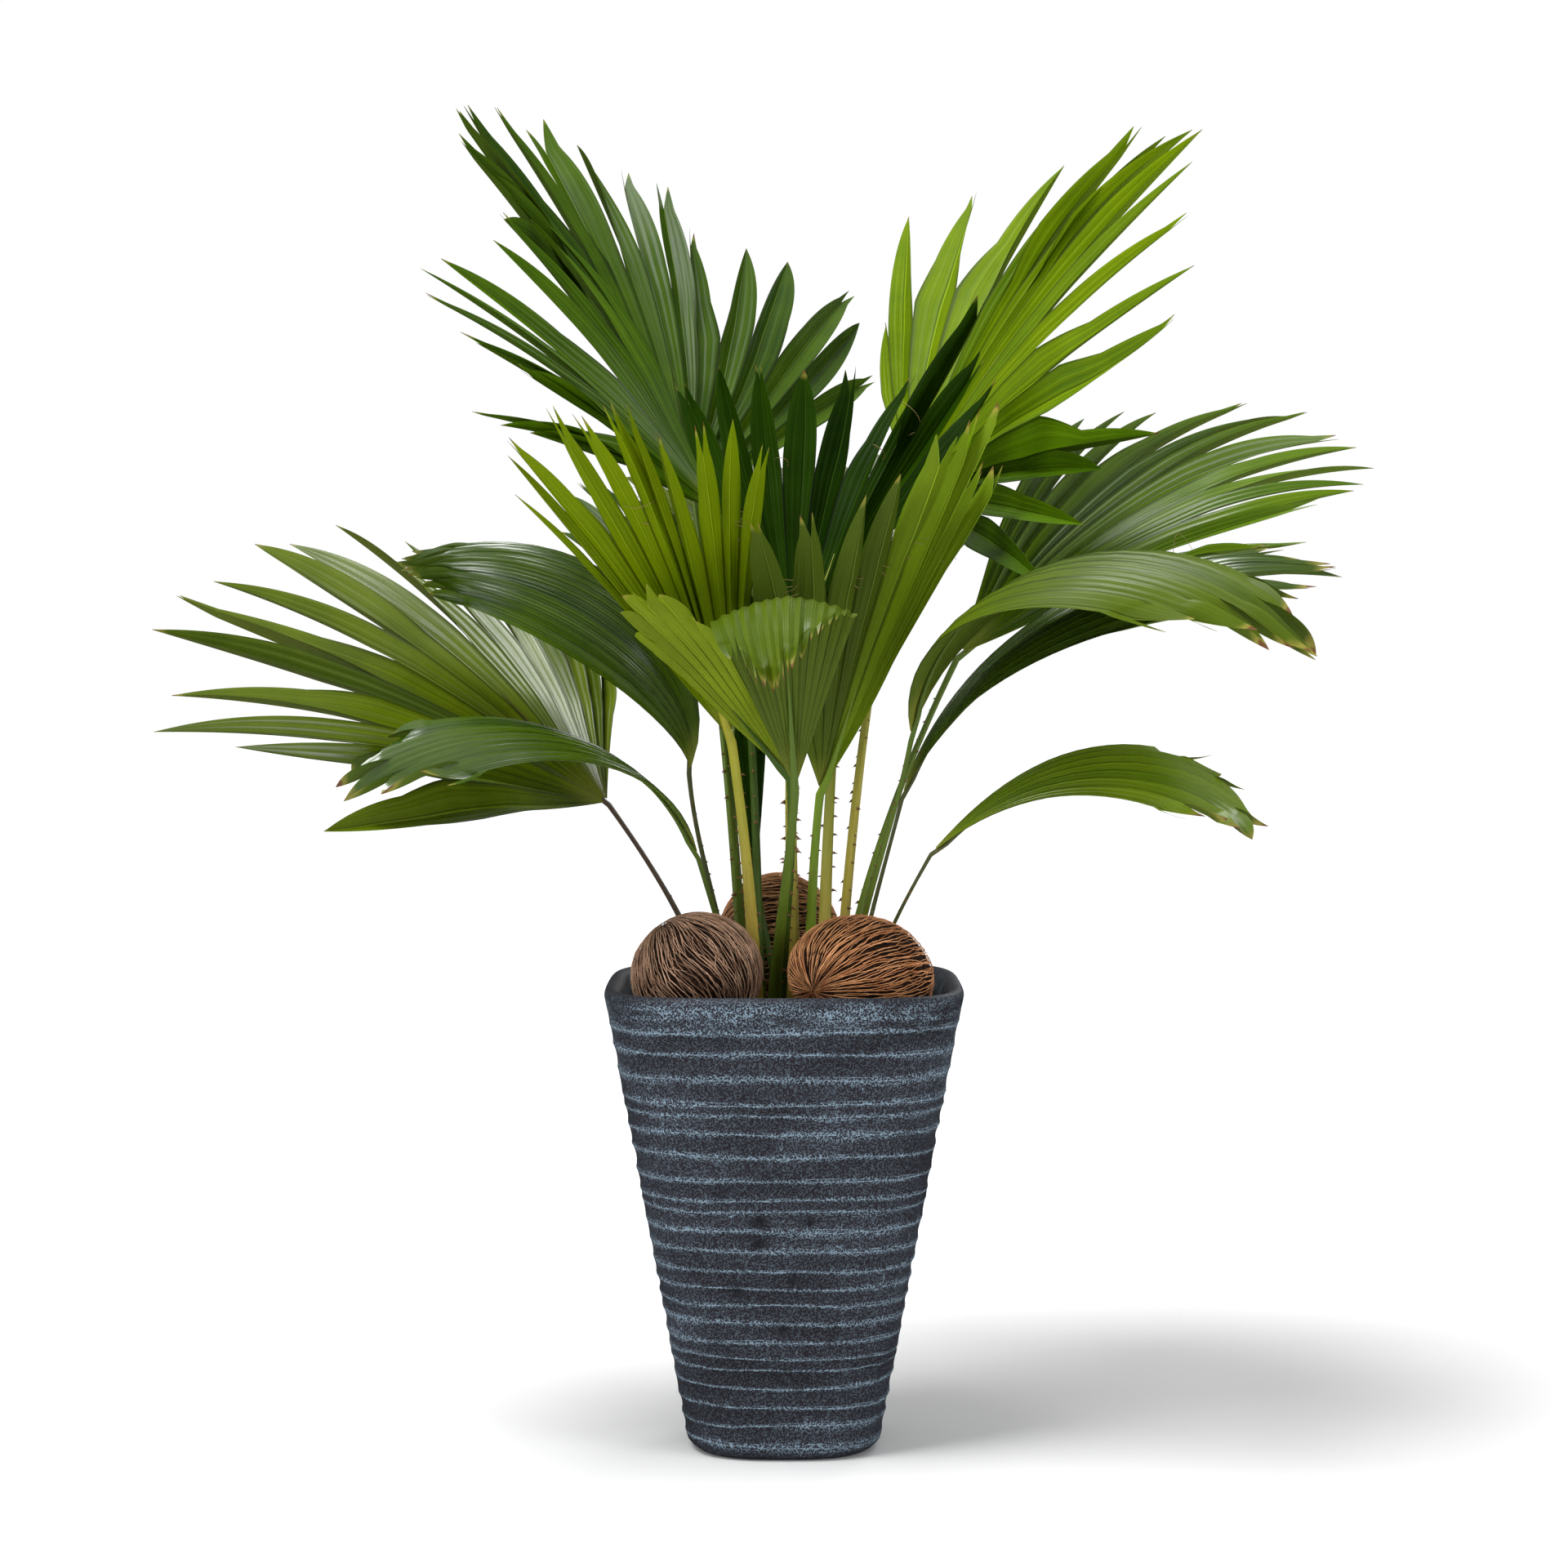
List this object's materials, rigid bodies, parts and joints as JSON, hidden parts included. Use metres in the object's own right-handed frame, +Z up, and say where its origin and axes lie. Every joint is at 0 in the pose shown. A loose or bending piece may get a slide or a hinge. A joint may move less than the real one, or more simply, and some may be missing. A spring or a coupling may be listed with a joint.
{
  "type": "potted footstool palm",
  "caption": "Young footstool palm with pleated fan leaves on thorny stalks and dry seed pods on its soil, in a tall tapered planter with carved bands.",
  "frame": {"origin": "middle of the planter's flat underside", "axes": "+Z up, -Y to the plant's front, +X to the right as seen from the front"},
  "size_m": [0.8213, 0.6105, 0.9107],
  "materials": {
    "planter": "matte",
    "soil": "matte",
    "root_crown": "matte",
    "seed_pod": "matte",
    "stalk": "satin",
    "leaf": "satin"
  },
  "bodies": {
    "root": {"pot": "planter", "soil": "soil", "root_crown": "root_crown", "pod_left": "seed_pod", "pod_right": "seed_pod", "pod_back": "seed_pod", "left_low_stalk": "stalk", "left_low_blade": "leaf", "left_slim_stalk": "stalk", "left_slim_blade": "leaf", "left_arching_stalk": "stalk", "left_arching_blade": "leaf", "front_left_stalk": "stalk", "front_left_blade": "leaf", "front_middle_stalk": "stalk", "front_middle_blade": "leaf", "front_wing_stalk": "stalk", "front_wing_blade": "leaf", "front_right_stalk": "stalk", "front_right_blade": "leaf", "upper_left_stalk": "stalk", "upper_left_blade": "leaf", "mid_left_stalk": "stalk", "mid_left_blade": "leaf", "upper_right_stalk": "stalk", "upper_right_blade": "leaf", "right_wide_stalk": "stalk", "right_wide_blade": "leaf", "right_folded_stalk": "stalk", "right_folded_blade": "leaf", "right_under_stalk": "stalk", "right_under_blade": "leaf", "right_low_stalk": "stalk", "right_low_blade": "leaf", "middle_stalk": "stalk", "middle_blade": "leaf", "back_slim_stalk": "stalk", "back_slim_blade": "leaf", "back_left_stalk": "stalk", "back_left_blade": "leaf", "back_right_stalk": "stalk", "back_right_blade": "leaf", "back_middle_stalk": "stalk", "back_middle_blade": "leaf"}
  },
  "joints": []
}
